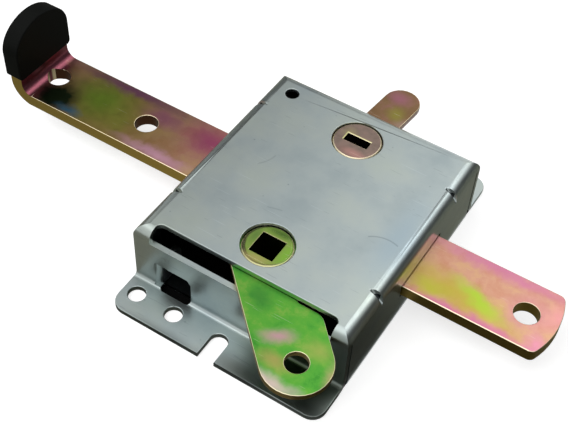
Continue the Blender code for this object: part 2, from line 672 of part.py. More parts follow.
def make_hub(name, mat, centre, below, tenon, flats, opening):
    """A hub: a round boss in the face's hole over a flatted tenon that reaches down into the back plate."""
    under = FACE_UNDER
    top = CASE_HEIGHT - below
    radius = BOSS / 2
    profile = [(0, under), (radius, under), (radius, top - BOSS_EDGE), (radius - BOSS_EDGE, top), (0, top)]
    hub = turned(name, mat, profile, centre)
    join(hub, placed(flatted(tenon / 2, flats), 0, centre), HUB_BOTTOM, under + SHEET / 2)
    bottom = tenon / 2 - RING_GROOVE
    play = SEAT_GAP / 2
    groove = [(bottom, RING_BOTTOM - play), (tenon, RING_BOTTOM - play), (tenon, RING_TOP + play),
              (bottom, RING_TOP + play)]
    use_tool(hub, turned_mesh("groove", groove, centre))
    cut(hub, placed(opening, 0, centre), -FAR, FAR)
    return complete(hub, centre)


def make_snap_ring(name, centre, tenon):
    """An open ring in a hub's groove, under the lever."""
    inner = tenon / 2 - RING_GROOVE + SEAT_GAP
    start, end = RING_MOUTH - pi / 2, 1.5 * pi - RING_MOUTH
    outline = arc(centre, inner + RING_WIDTH, start, end, 26) + arc(centre, inner, end, start, 26)
    return complete(prism(name, spring_steel(), outline, RING_BOTTOM, RING_TOP), centre)


def make_sleeve(name, centre, tenon, low, high):
    inner = tenon / 2 + SEAT_GAP
    outer = inner + SLEEVE_WALL
    return complete(turned(name, spring_steel(), [(inner, low), (outer, low), (outer, high), (inner, high)], centre),
                    centre)


def make_wave_washer(name, centre, tenon):
    """A wavy ring that takes up the play between the back plate and what stands on it."""
    inner = tenon / 2 + SEAT_GAP
    outer = inner + SLEEVE_WALL
    steps = ROUND_STEPS + ROUND_STEPS // 2
    middle = (PLATE + SEAT_GAP + WAVE_TOP) / 2
    bm = bmesh.new()
    rings = []
    for radius, level in ((inner, -0.5), (outer, -0.5), (outer, 0.5), (inner, 0.5)):
        ring = []
        for i in range(steps):
            a = 2 * pi * i / steps
            z = middle + level * WAVE_THICKNESS + WAVE_HEIGHT * cos(WAVES * a)
            ring.append(bm.verts.new((centre[0] + radius * cos(a), centre[1] + radius * sin(a), z)))
        rings.append(ring)
    for k in range(4):
        lower, upper = rings[k], rings[(k + 1) % 4]
        for i in range(steps):
            j = (i + 1) % steps
            bm.faces.new((lower[i], lower[j], upper[j], upper[i]))
    bmesh.ops.recalc_face_normals(bm, faces=bm.faces)
    mesh = bpy.data.meshes.new(name)
    bm.to_mesh(mesh)
    bm.free()
    return complete(add(name, mesh, spring_steel()), centre)


def stud_path():
    """The stud as the lever sees it, as distances along and across the inner arm."""
    points = []
    for i in range(STUD_PATH_STEPS + 1):
        x = STUD_X - SPINDLE_X + TRAVEL * i / STUD_PATH_STEPS
        turned_by = (SWING_IN + SWING_OUT) * i / STUD_PATH_STEPS - SWING_IN
        reach = sqrt(x * x + STUD_REACH * STUD_REACH)
        off = atan(x / STUD_REACH) - turned_by
        points.append((-reach * cos(off), reach * sin(off)))
    return points


def make_cable_lever():
    """One plate: the outer arm for the cable, a ring round the hub and the slotted inner arm."""
    centre = (SPINDLE_X, SPINDLE_Y)
    lean = asin((LEVER_RING - LEVER_END) / LEVER_REACH)
    fall = SHOULDER_AT - (LEVER_END - NECK_HALF) * tan(pi / 2 + LEVER_REST)
    neck = asin(NECK_HALF / LEVER_RING)
    root = asin(INNER_HALF / LEVER_RING)
    path = stud_path()
    slot_half = BUSH / 2 + BUSH_PLAY
    far_end = max(-x for x, _ in path) + slot_half + SLOT_END_WALL - INNER_HALF
    shoulder = rounded([(LEVER_REACH, LEVER_END, 0), (SHOULDER_AT, LEVER_END, SHOULDER_ROUND),
                        (fall, NECK_HALF, NECK_ROUND), (LEVER_RING * cos(neck), NECK_HALF, 0)])[1:-1]
    outline = arc((LEVER_REACH, 0), LEVER_END, lean - pi / 2, pi / 2, 16) + shoulder
    outline += arc((0, 0), LEVER_RING, neck, pi - root, 12)
    outline += arc((-far_end, 0), INNER_HALF, pi / 2, 1.5 * pi, 12)
    outline += arc((0, 0), LEVER_RING, pi + root, 1.5 * pi + lean, 6)
    lever = prism("cable_lever", green_zinc(), placed(outline, LEVER_REST, centre), LEVER_BOTTOM, LEVER_TOP)
    cut(lever, placed(circle((LEVER_REACH, 0), LEVER_HOLE / 2), LEVER_REST, centre), 0, FAR)
    cut(lever, placed(flatted(SPINDLE_TENON / 2 + SEAT_GAP, SPINDLE_FLATS + 2 * SEAT_GAP), 0, centre), 0, FAR)
    slot = hull([q for p in path for q in circle(p, slot_half)])
    cut(lever, placed(slot, LEVER_REST, centre), 0, FAR)
    soften(lever, LEVER_EDGE)
    return complete(lever, centre)


def keyhole(ring, half, reach):
    """A ring with one straight arm that ends round."""
    root = asin(half / ring)
    return arc((0, 0), ring, root, 2 * pi - root, 24) + arc((reach, 0), half, -pi / 2, pi / 2, 12)


def make_key_plate(name, mat, outline, direction, low, high):
    """A lever or pawl that the key hub turns."""
    centre = (KEY_X, KEY_Y)
    plate = prism(name, mat, placed(outline, direction, centre), low, high)
    cut(plate, placed(flatted(KEY_TENON / 2 + SEAT_GAP, KEY_FLATS + 2 * SEAT_GAP), 0, centre), 0, FAR)
    soften(plate, LEVER_EDGE)
    return complete(plate, centre)


def rivet_xs():
    at = LEAF_HALF_ARCH + LEAF_FOOT / 2
    return (-at, at)


def make_friction_leaf():
    """An arched leaf under the bolt that holds it where it is put."""
    low = PLATE + SEAT_GAP
    rise = BOLT_BOTTOM - SEAT_GAP - LEAF_THICKNESS - low
    span = LEAF_HALF_ARCH
    steps = 20
    under = [(-span - LEAF_FOOT, low)]
    under += [(x, low + rise * (1 + cos(pi * x / span)) / 2) for x in
              (span * (2 * i / steps - 1) for i in range(steps + 1))]
    under += [(span + LEAF_FOOT, low)]
    over = [(x, z + LEAF_THICKNESS) for x, z in reversed(under)]
    leaf = prism("friction_leaf", spring_steel(), under + over, BOLT_Y - LEAF_WIDTH / 2, BOLT_Y + LEAF_WIDTH / 2,
                 along_y)
    for x in rivet_xs():
        drill(leaf, x, BOLT_Y, RIVET + 2 * SEAT_GAP)
    return complete(leaf)


def make_rivet(name, x):
    """A rivet with a round head on the leaf, closed into the back plate's countersink."""
    seat = PLATE + SEAT_GAP + LEAF_THICKNESS + SEAT_GAP
    radius, head = RIVET / 2, RIVET_HEAD / 2
    crown = [(head * cos(a), seat + RIVET_HEAD_HEIGHT * (RIVET_RIM + (1 - RIVET_RIM) * sin(a))) for a in
             (pi / 2 * i / BEND_STEPS for i in range(BEND_STEPS))]
    profile = [(0, HUB_BOTTOM), (radius + RIVET_FLARE, HUB_BOTTOM), (radius, HUB_BOTTOM + RIVET_FLARE_DEPTH),
               (radius, seat), (head, seat)] + crown + [(0, seat + RIVET_HEAD_HEIGHT)]
    return complete(turned(name, spring_steel(), profile, (x, BOLT_Y)))


def main():
    clear_scene()
    spindle, key = (SPINDLE_X, SPINDLE_Y), (KEY_X, KEY_Y)
    make_case()
    make_back_plate()
    make_bolt()
    make_grip_cap()
    make_stud()

    half = SOCKET / 2
    make_hub("spindle_hub", yellow_zinc(), spindle, SPINDLE_BOSS_BELOW, SPINDLE_TENON, SPINDLE_FLATS,
             oblong(-half, half, -half, half))
    make_cable_lever()
    make_snap_ring("spindle_snap_ring", spindle, SPINDLE_TENON)
    make_sleeve("spindle_sleeve", spindle, SPINDLE_TENON, WAVE_TOP + SEAT_GAP, RING_BOTTOM - SEAT_GAP)
    make_wave_washer("spindle_wave_washer", spindle, SPINDLE_TENON)

    half, width = KEY_SLOT_LENGTH / 2, KEY_SLOT_WIDTH / 2
    make_hub("key_hub", yellow_zinc(), key, KEY_BOSS_BELOW, KEY_TENON, KEY_FLATS,
             oblong(-half, half, -width, width))
    make_key_plate("lock_lever", yellow_zinc(), keyhole(LOCK_RING, LOCK_HALF, LOCK_REACH), LOCK_REST,
                   LEVER_BOTTOM, LEVER_TOP)
    make_snap_ring("key_snap_ring", key, KEY_TENON)
    make_sleeve("upper_key_sleeve", key, KEY_TENON, PAWL_TOP + SEAT_GAP, RING_BOTTOM - SEAT_GAP)
    make_key_plate("deadlock_pawl", yellow_zinc(), keyhole(PAWL_RING, PAWL_HALF, PAWL_REACH), PAWL_REST,
                   PAWL_BOTTOM, PAWL_TOP)
    make_sleeve("lower_key_sleeve", key, KEY_TENON, WAVE_TOP + SEAT_GAP, PAWL_BOTTOM - SEAT_GAP)
    make_wave_washer("key_wave_washer", key, KEY_TENON)

    make_friction_leaf()
    left, right = rivet_xs()
    make_rivet("left_leaf_rivet", left)
    make_rivet("right_leaf_rivet", right)


main()
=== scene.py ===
"""Garage door latch: the looks of its plated steel pieces, its soft black cap, and the studio round it."""
import json
from math import cos, radians, sin

import bmesh
import bpy
from mathutils import Matrix, Vector


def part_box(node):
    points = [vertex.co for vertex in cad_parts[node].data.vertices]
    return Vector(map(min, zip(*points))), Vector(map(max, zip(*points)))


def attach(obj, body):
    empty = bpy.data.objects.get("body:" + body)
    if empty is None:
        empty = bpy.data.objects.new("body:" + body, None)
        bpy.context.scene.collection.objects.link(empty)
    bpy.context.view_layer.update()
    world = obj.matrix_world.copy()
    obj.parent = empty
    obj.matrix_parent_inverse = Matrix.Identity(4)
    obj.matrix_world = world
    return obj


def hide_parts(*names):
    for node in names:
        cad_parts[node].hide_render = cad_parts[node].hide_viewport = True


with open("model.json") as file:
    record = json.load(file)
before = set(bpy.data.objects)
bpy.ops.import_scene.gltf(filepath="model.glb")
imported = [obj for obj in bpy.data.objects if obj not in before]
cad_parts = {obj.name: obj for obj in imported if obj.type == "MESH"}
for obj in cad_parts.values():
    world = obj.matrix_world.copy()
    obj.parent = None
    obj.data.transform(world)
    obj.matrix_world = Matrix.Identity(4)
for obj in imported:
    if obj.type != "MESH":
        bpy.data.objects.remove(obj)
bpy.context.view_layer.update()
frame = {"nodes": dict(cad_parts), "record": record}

record = frame["record"]
body_of = {name: body for body, names in record["behaviour"]["bodies"].items() for name in names}
slot_of = {part["node"]: part["material_slot"] for part in record["subparts"]}

MM = 0.001
MERGE_WITHIN = 0.002 * MM       # corners closer than this are one corner
LEVEL_SLACK = 0.02 * MM         # how far an edge may lie off a height and still count as at it
ONE_PLANE = 0.4                 # degrees between faces that lie in one plane
SHARP_TURN = 34                 # degrees between faces that meet in a crisp edge
PRESSED_TURN = 20               # the same on the pressed case, whose bends are tight
RING_TURN = 50                  # the same on a turned ring
SQUARE_ON = 0.9999              # how squarely a face looks along an axis when it is level or upright

SHEET = 1.9 * MM                # the case's sheet, so also the height of its flanges' upper side
BAR_TOP = 14.461 * MM
BAR_UNDERSIDE = 9.701 * MM
SHEET_ROLL = 0.26 * MM          # how wide the rolls on each kind of edge are
BAR_ROLL = 0.26 * MM
PLATE_ROLL = 0.28 * MM
SPINDLE_HUB_ROLL = 0.1 * MM
KEY_HUB_ROLL = 0.2 * MM
WASHER_SHEET = 0.5 * MM
WASHER_WAVES = 3.0
RING_STEPS = 96
RING_EDGE_SHARE = 0.12          # the round on a ring's edges, as a share of its thinner side
RING_EDGE_STEPS = 3


# Nodes and colours

def linear(hex_colour):
    """An sRGB hex colour as linear RGBA."""
    parts = [int(hex_colour[i:i + 2], 16) / 255 for i in (1, 3, 5)]
    return tuple(c / 12.92 if c <= 0.04045 else ((c + 0.055) / 1.055) ** 2.4 for c in parts) + (1.0,)


def put(tree, kind, inputs=None, **settings):
    """Adds a node, with its settings first and then its values and links by socket name or number."""
    made = tree.nodes.new(kind)
    for name, value in settings.items():
        setattr(made, name, value)
    for name, value in (inputs or {}).items():
        socket = made.inputs[name]
        if isinstance(value, bpy.types.NodeSocket):
            tree.links.new(value, socket)
        else:
            socket.default_value = value
    return made


def set_stops(ramp, stops):
    """Fills a colour ramp from (place, hex colour) pairs."""
    points = ramp.color_ramp.elements
    while len(points) > 1:
        points.remove(points[-1])
    points[0].position = stops[0][0]
    points[0].color = linear(stops[0][1])
    for place, colour in stops[1:]:
        points.new(place).color = linear(colour)


def new_material(name):
    """A new material with its shader, and the latch's own coordinates in millimetres."""
    mat = bpy.data.materials.new(name)
    mat.use_nodes = True
    tree = mat.node_tree
    shader = tree.nodes["Principled BSDF"]
    place = put(tree, "ShaderNodeTexCoord").outputs["Object"]
    mm = put(tree, "ShaderNodeVectorMath", {0: place, "Scale": 1 / MM}, operation="SCALE").outputs[0]
    return mat, tree, shader, mm


def blend(tree, mask, below, above, share=1.0):
    """Lays a share of one colour over another where the mask is 1. Each is a hex colour or a socket."""
    if share != 1.0:
        mask = put(tree, "ShaderNodeMath", {0: mask, 1: share}, operation="MULTIPLY").outputs[0]
    mixed = put(tree, "ShaderNodeMix", {0: mask}, data_type="RGBA")
    for number, colour in ((6, below), (7, above)):
        if isinstance(colour, str):
            mixed.inputs[number].default_value = linear(colour)
        else:
            tree.links.new(colour, mixed.inputs[number])
    return mixed.outputs[2]


# Marks on the metal

def spot_mask(tree, place, centre, reach, turn=0.0):
    """A soft spot: 1 in its middle, 0 at its reach in millimetres, and endless where that is None."""
    moved = put(tree, "ShaderNodeVectorMath", {0: place, 1: centre}, operation="SUBTRACT").outputs[0]
    turned = put(tree, "ShaderNodeMapping", {"Vector": moved, "Rotation": (0, 0, radians(-turn))})
    scale = [1 / part if part else 0 for part in reach]
    flat = put(tree, "ShaderNodeVectorMath", {0: turned.outputs[0], 1: scale}, operation="MULTIPLY")
    far = put(tree, "ShaderNodeVectorMath", {0: flat.outputs[0]}, operation="LENGTH").outputs["Value"]
    return put(tree, "ShaderNodeMapRange", {"Value": far, "From Min": 1.0, "From Max": 0.0},
               interpolation_type="SMOOTHSTEP").outputs[0]


def lay_patches(tree, place, colour, patches):
    """Lays soft patches over a colour. Each is (centre, reach, turn, hex colour, share), seen from above."""
    for centre, reach, turn, tint, share in patches:
        spot = spot_mask(tree, place, (*centre, 0), (*reach, None), turn)
        colour = blend(tree, spot, colour, tint, share)
    return colour


def within(tree, place, low, high):
    """1 inside a box from its two corners in millimetres, else 0."""
    low = Vector(low)
    high = Vector(high)
    moved = put(tree, "ShaderNodeVectorMath", {0: place, 1: (low + high) / 2}, operation="SUBTRACT")
    scaled = put(tree, "ShaderNodeVectorMath", {0: moved.outputs[0], 1: (high - low) / 2},
                 operation="DIVIDE")
    apart = put(tree, "ShaderNodeVectorMath", {0: scaled.outputs[0]}, operation="ABSOLUTE")
    part = put(tree, "ShaderNodeSeparateXYZ", {0: apart.outputs[0]}).outputs
    across = put(tree, "ShaderNodeMath", {0: part["X"], 1: part["Y"]}, operation="MAXIMUM").outputs[0]
    most = put(tree, "ShaderNodeMath", {0: across, 1: part["Z"]}, operation="MAXIMUM").outputs[0]
    return put(tree, "ShaderNodeMath", {0: most, 1: 1.0}, operation="LESS_THAN").outputs[0]


def hairlines(tree, place, turn, length, width, rarity, softness=0.03):
    """Long thin scratches that all run one way, with sizes in millimetres: 1 on a scratch, else 0."""
    drawn = put(tree, "ShaderNodeMapping", {"Vector": place, "Rotation": (0, 0, radians(-turn)),
                                            "Scale": (1 / length, 1 / width, 1 / width)})
    field = put(tree, "ShaderNodeTexNoise", {"Vector": drawn.outputs[0], "Scale": 1.0, "Detail": 1.0})
    return put(tree, "ShaderNodeMapRange", {"Value": field.outputs["Fac"], "From Min": rarity,
                                            "From Max": rarity + softness}).outputs[0]


def arc_line(tree, place, centre, radius, low, high):
    """1 on a thin arc inside a box, else 0: the scratch of something turned on the face."""
    moved = put(tree, "ShaderNodeVectorMath", {0: place, 1: (*centre, 0)}, operation="SUBTRACT")
    flat = put(tree, "ShaderNodeVectorMath", {0: moved.outputs[0], 1: (1, 1, 0)}, operation="MULTIPLY")
    far = put(tree, "ShaderNodeVectorMath", {0: flat.outputs[0]}, operation="LENGTH").outputs["Value"]
    off = put(tree, "ShaderNodeMath", {0: far, 1: radius}, operation="SUBTRACT").outputs[0]
    gap = put(tree, "ShaderNodeMath", {0: off}, operation="ABSOLUTE").outputs[0]
    line = put(tree, "ShaderNodeMapRange", {"Value": gap, "From Min": 0.4, "From Max": 0.1}).outputs[0]
    inside = within(tree, place, low, high)
    return put(tree, "ShaderNodeMath", {0: line, 1: inside}, operation="MULTIPLY").outputs[0]


# Finish of the case and the back plate

FACE_BLUE = ((33, -2), (9, 30), 0, "#9fafb6", 1.0)
# Painted shade and painted reflection: the sheet darker and olive at the near wall's ends, on the flange, and
# under and beside the lever
SHEET_PAINTED_SHADE = [
    ((-38, -45), (20, 6), 0, "#77796a", 0.25),
    ((39, -45.5), (9, 4), 0, "#5a5e58", 0.7),
    ((24, -48.5), (26, 9), 0, "#3c4a34", 1.4),
    ((12, -58), (22, 8), 0, "#5c625e", 0.9),
    ((-18, -61), (26, 5), 0, "#626a68", 0.8),
    ((34, -57), (14, 7), 0, "#4a504c", 0.8)]
FACE_SCRATCHES = [              # (centre, radius, low, high, share)
    ((30.6, -13.7), 9.7, (24.2, -6.6, 25), (34.0, -3.5, 27), 0.4),
    ((2.0, -44.0), 32.0, (-9.0, -14.0, 25), (-4.0, -8.0, 27), 0.25),
    ((-30.0, 8.0), 11.0, (-22.0, 0.0, 25), (-18.0, 7.0, 27), 0.25)]
WALL_DENTS = ((-27.6, 16.9), (-13.1, 17.9))     # (x, z) of two press marks on the near wall, in mm
DENT_REACH = 1.7                # mm
DENT_DEPTH = 18.0               # in depths of the sheet's grain
WAVE_DEPTH = 14.0               # the same, for the slow waves of pressed sheet
CASE_ROOM = ((-38.4, -33, -1), (38.4, 43.3, 24.6))          # the inside, painted dark as shade, in mm
BACK_PLATE_ROOM = ((-38.4, -43.3, 0.3), (38.4, 43.3, 2.3))


def clear_zinc_sheet():
    """Bright zinc plate on cold rolled sheet: satin grey, with a faint blue cast, fine handling marks, and
    painted shade and reflection in patches and inside the case.
    """
    mat, tree, shader, mm = new_material("bright_zinc_plated_rolled_sheet")
    cloud = put(tree, "ShaderNodeTexNoise", {"Vector": mm, "Scale": 1 / 20, "Detail": 5.0,
                                             "Roughness": 0.55})
    warm = put(tree, "ShaderNodeValToRGB", {"Fac": cloud.outputs["Fac"]})
    set_stops(warm, [(0.3, "#a1adaf"), (0.44, "#abb6b6"), (0.55, "#b0bab7"), (0.7, "#b3bdb6")])
    colour = lay_patches(tree, mm, warm.outputs[0], [FACE_BLUE])
    speck = put(tree, "ShaderNodeTexVoronoi", {"Vector": mm, "Scale": 1 / 6}, feature="F1")
    dark_speck = put(tree, "ShaderNodeMapRange", {"Value": speck.outputs["Distance"], "From Min": 0.03,
                                                  "From Max": 0.07, "To Min": 0.45, "To Max": 0.0})
    colour = blend(tree, dark_speck.outputs[0], colour, "#707a80")
    bright = hairlines(tree, mm, turn=24, length=14, width=0.45, rarity=0.73)
    colour = blend(tree, bright, colour, "#c9d3d6", 0.35)
    dull = hairlines(tree, mm, turn=-52, length=8, width=0.5, rarity=0.71)
    colour = blend(tree, dull, colour, "#7e898e", 0.4)
    for centre, radius, low, high, share in FACE_SCRATCHES:
        colour = blend(tree, arc_line(tree, mm, centre, radius, low, high), colour, "#687276", share)
    # Painted shade and reflection in patches
    colour = lay_patches(tree, mm, colour, SHEET_PAINTED_SHADE)
    # The case's inside and the back plate are painted dark as shade
    room = within(tree, mm, *CASE_ROOM)
    plate = within(tree, mm, *BACK_PLATE_ROOM)
    painted_inside_shade = put(tree, "ShaderNodeMath", {0: room, 1: plate}, operation="MAXIMUM").outputs[0]
    tree.links.new(blend(tree, painted_inside_shade, colour, "#3c4143"), shader.inputs["Base Color"])
    shader.inputs["Metallic"].default_value = 1.0

    fine = put(tree, "ShaderNodeTexNoise", {"Vector": mm, "Scale": 1 / 3.1, "Detail": 2.0})
    gloss = put(tree, "ShaderNodeMapRange", {"Value": fine.outputs["Fac"], "To Min": 0.27, "To Max": 0.38})
    tree.links.new(gloss.outputs[0], shader.inputs["Roughness"])
    # Rolling grain is finer than shows, so it is drawn 3 mm long and half a millimetre wide
    rolled = put(tree, "ShaderNodeMapping", {"Vector": mm, "Scale": (0.25, 1.6, 1.0)})
    grain = put(tree, "ShaderNodeTexNoise", {"Vector": rolled.outputs[0], "Scale": 1 / 0.8, "Detail": 3.0})
    wavy = put(tree, "ShaderNodeTexNoise", {"Vector": mm, "Scale": 1 / 16, "Detail": 1.0})
    height = put(tree, "ShaderNodeMath", {0: wavy.outputs["Fac"], 1: WAVE_DEPTH, 2: grain.outputs["Fac"]},
                 operation="MULTIPLY_ADD").outputs[0]
    for x, z in WALL_DENTS:
        dent = spot_mask(tree, mm, (x, 0, z), (DENT_REACH, None, DENT_REACH))
        height = put(tree, "ShaderNodeMath", {0: dent, 1: -DENT_DEPTH, 2: height},
                     operation="MULTIPLY_ADD").outputs[0]
    bump = put(tree, "ShaderNodeBump", {"Height": height, "Strength": 0.25, "Distance": 0.02 * MM})
    tree.links.new(bump.outputs[0], shader.inputs["Normal"])
    return mat


# Finish of the bolt, the levers and the hubs

RUB_AND_HIGHLIGHT_FROM = 0.985             # a face less level than this begins to show the pale rubbed edge and its painted highlight
RUB_AND_HIGHLIGHT_FULL = 0.93              # and shows it in full here
RUB_AND_HIGHLIGHT_SHARE = 0.85
CUT_FULL = 0.15                 # a face less level than this is all cut edge
CUT_FROM = 0.5                  # and one more level than this has none of it
BEND_SIDE_FROM = 0.1            # a face of the bar's bend that looks this far along Y starts as its side
BEND_SIDE_FULL = 0.3            # and is its side in full here
BEND_LENGTH = 4.2               # mm along the bar from where its bend starts to where it stands upright


def chromate(name, ground, patches, cut_edge, mottle, wander, bent_before=None, bores=None, rim_highlights=()):
    """Yellow chromate over zinc: a thin film whose thickness turns the metal pink, tan, yellow and green.

    ground holds the film's usual colours, in clouds as wide as mottle, and wander is how far they and the
    patches stray, both in millimetres; on the spindle hub the ground is a near black painted shadow. The film
    ran thicker or thinner in most patches, and some are painted highlight or painted shade. cut_edge is its
    colour on upright faces. Before bent_before along the bolt the bar is bent up, so faces that look along X
    are rolled ones there. Upright faces within the bores' box are the dull walls of drilled holes. The last
    argument holds rim marks, each (low, high, colour, share): a painted highlight on a hole's rim. Rubbed
    edges show pale metal, and are painted brighter as a highlight.
    """
    mat, tree, shader, mm = new_material(name)
    sway = put(tree, "ShaderNodeTexNoise", {"Vector": mm, "Scale": 1 / 6, "Detail": 4.0, "Roughness": 0.6})
    offset = put(tree, "ShaderNodeVectorMath", {0: sway.outputs["Color"], 1: (0.5, 0.5, 0.5)},
                 operation="SUBTRACT")
    shift = put(tree, "ShaderNodeVectorMath", {0: offset.outputs[0], "Scale": 2 * wander},
                operation="SCALE")
    drifted = put(tree, "ShaderNodeVectorMath", {0: mm, 1: shift.outputs[0]}).outputs[0]
    cloud = put(tree, "ShaderNodeTexNoise", {"Vector": drifted, "Scale": 1 / mottle, "Detail": 5.0,
                                             "Roughness": 0.62})
    ramp = put(tree, "ShaderNodeValToRGB", {"Fac": cloud.outputs["Fac"]})
    set_stops(ramp, ground)
    colour = lay_patches(tree, drifted, ramp.outputs[0], patches)
    # Painted highlights on the rims of holes
    for low, high, tint, share in rim_highlights:
        colour = blend(tree, within(tree, mm, low, high), colour, tint, share)
    rubs = hairlines(tree, mm, turn=14, length=9, width=0.4, rarity=0.74)
    colour = blend(tree, rubs, colour, "#d9d2c0", 0.3)

    facing = put(tree, "ShaderNodeVectorMath", {0: put(tree, "ShaderNodeNewGeometry").outputs["Normal"]},
                 operation="ABSOLUTE").outputs[0]
    facing = put(tree, "ShaderNodeSeparateXYZ", {0: facing}).outputs
    level = facing["Z"]
    edge = put(tree, "ShaderNodeMapRange", {"Value": level, "From Min": RUB_AND_HIGHLIGHT_FROM,
                                            "From Max": RUB_AND_HIGHLIGHT_FULL}).outputs[0]
    if bent_before is not None:
        at = put(tree, "ShaderNodeSeparateXYZ", {0: mm}).outputs["X"]
        bent = put(tree, "ShaderNodeMath", {0: at, 1: bent_before}, operation="LESS_THAN").outputs[0]
        upright = put(tree, "ShaderNodeMath", {0: at, 1: bent_before - BEND_LENGTH},
                      operation="LESS_THAN").outputs[0]
        rolled = put(tree, "ShaderNodeMath", {0: facing["X"], 1: upright}, operation="MULTIPLY").outputs[0]
        level = put(tree, "ShaderNodeMath", {0: facing["Z"], 1: rolled}, operation="MAXIMUM").outputs[0]
        across = put(tree, "ShaderNodeMapRange", {"Value": facing["Y"], "From Min": BEND_SIDE_FULL,
                                                  "From Max": BEND_SIDE_FROM}).outputs[0]
        bend = put(tree, "ShaderNodeMath", {0: across, 1: bent}, operation="MULTIPLY").outputs[0]
        edge = put(tree, "ShaderNodeMath", {0: edge, 1: bend}, operation="SUBTRACT",
                   use_clamp=True).outputs[0]
    # Pale rubbed metal on the rolled edges, painted brighter as a highlight
    colour = blend(tree, edge, colour, "#fff0cc", RUB_AND_HIGHLIGHT_SHARE)
    if bores:
        cut_edge = blend(tree, within(tree, mm, *bores), cut_edge, "#5a3c2c")
    flat = put(tree, "ShaderNodeMapRange", {"Value": level, "From Min": CUT_FULL,
                                            "From Max": CUT_FROM}).outputs[0]
    tree.links.new(blend(tree, flat, cut_edge, colour), shader.inputs["Base Color"])
    shader.inputs["Metallic"].default_value = 1.0

    fine = put(tree, "ShaderNodeTexNoise", {"Vector": mm, "Scale": 1 / 2.6, "Detail": 2.0})
    gloss = put(tree, "ShaderNodeMapRange", {"Value": fine.outputs["Fac"], "To Min": 0.26, "To Max": 0.40})
    tree.links.new(gloss.outputs[0], shader.inputs["Roughness"])
    bump = put(tree, "ShaderNodeBump", {"Height": fine.outputs["Fac"], "Strength": 0.15,
                                        "Distance": 0.02 * MM})
    tree.links.new(bump.outputs[0], shader.inputs["Normal"])
    return mat


# Finish of the cap and of the inner pieces

def dipped_vinyl():
    """Soft dip moulded vinyl: nearly black and half matt, with a soft skin."""
    mat, tree, shader, mm = new_material("black_dip_moulded_vinyl")
    cloud = put(tree, "ShaderNodeTexNoise", {"Vector": mm, "Scale": 1 / 6, "Detail": 3.0})
    shade = put(tree, "ShaderNodeValToRGB", {"Fac": cloud.outputs["Fac"]})
    set_stops(shade, [(0.3, "#040504"), (0.7, "#080a08")])
    tree.links.new(shade.outputs[0], shader.inputs["Base Color"])
    gloss = put(tree, "ShaderNodeMapRange", {"Value": cloud.outputs["Fac"], "To Min": 0.5, "To Max": 0.66})
    tree.links.new(gloss.outputs[0], shader.inputs["Roughness"])
    shader.inputs["Specular IOR Level"].default_value = 0.08
    skin = put(tree, "ShaderNodeTexNoise", {"Vector": mm, "Scale": 1 / 0.6, "Detail": 2.0})
    bump = put(tree, "ShaderNodeBump", {"Height": skin.outputs["Fac"], "Strength": 0.2,
                                        "Distance": 0.03 * MM})
    tree.links.new(bump.outputs[0], shader.inputs["Normal"])
    return mat


def oiled_steel():
    """Plain cold drawn steel, lightly oiled: grey, with a fine turned grain."""
    mat, tree, shader, mm = new_material("oiled_cold_drawn_steel")
    cloud = put(tree, "ShaderNodeTexNoise", {"Vector": mm, "Scale": 1 / 1.5, "Detail": 4.0})
    shade = put(tree, "ShaderNodeValToRGB", {"Fac": cloud.outputs["Fac"]})
    set_stops(shade, [(0.3, "#6f7173"), (0.7, "#8d8f90")])
    tree.links.new(shade.outputs[0], shader.inputs["Base Color"])
    shader.inputs["Metallic"].default_value = 1.0
    gloss = put(tree, "ShaderNodeMapRange", {"Value": cloud.outputs["Fac"], "To Min": 0.28, "To Max": 0.42})
    tree.links.new(gloss.outputs[0], shader.inputs["Roughness"])
    return mat


# Dressing a CAD piece

def keep_flats_flat(mesh):
    """Shades each level or upright face by its own direction, so that no light fans out from a corner."""
    directions = [tuple(corner.vector) for corner in mesh.corner_normals]
    for face in mesh.polygons:
        if max(abs(part) for part in face.normal) > SQUARE_ON:
            for corner in face.loop_indices:
                directions[corner] = tuple(face.normal)
    mesh.normals_split_custom_set(directions)


def dress(name, edge_width, segments=3, levels=None, sharp_turn=SHARP_TURN, even=True):
    """A merged copy of a CAD piece with its sharp edges rolled a little, or only those at some heights.

    It is shaded evenly by the size of its faces, or else with its level and upright faces kept flat.
    """
    node = frame["nodes"][name]
    mesh = node.data.copy()
    mesh.transform(node.matrix_world)
    bm = bmesh.new()
    bm.from_mesh(mesh)
    bmesh.ops.remove_doubles(bm, verts=bm.verts, dist=MERGE_WITHIN)
    bmesh.ops.dissolve_limit(bm, angle_limit=radians(ONE_PLANE), verts=bm.verts, edges=bm.edges)
    bmesh.ops.recalc_face_normals(bm, faces=bm.faces)
    weight = bm.edges.layers.float.new("bevel_weight_edge")
    for edge in bm.edges:
        if len(edge.link_faces) != 2 or edge.calc_face_angle() < radians(SHARP_TURN):
            continue
        if levels is None or any(all(abs(v.co.z - z) < LEVEL_SLACK for v in edge.verts) for z in levels):
            edge[weight] = 1.0
    bm.to_mesh(mesh)
    bm.free()
    mesh.name = name + "_dressed"
    mesh.materials.clear()
    obj = bpy.data.objects.new(name + "_dressed", mesh)
    bpy.context.scene.collection.objects.link(obj)
    mesh.shade_smooth()
    mesh.set_sharp_from_angle(angle=radians(sharp_turn))
    if edge_width:
        roll = obj.modifiers.new("rolled_edges", "BEVEL")
        roll.width = edge_width
        roll.segments = segments
        roll.limit_method = "WEIGHT"
        roll.harden_normals = True
        roll.use_clamp_overlap = levels is None
    if even:
        obj.modifiers.new("even_shading", "WEIGHTED_NORMAL").keep_sharp = True
    bpy.context.view_layer.update()
    graph = bpy.context.evaluated_depsgraph_get()
    finished = bpy.data.meshes.new_from_object(obj.evaluated_get(graph), preserve_all_data_layers=True,
                                               depsgraph=graph)
    finished.name = name + "_dressed"
    if not even:
        keep_flats_flat(finished)
    obj.modifiers.clear()
    obj.data = finished
    return obj


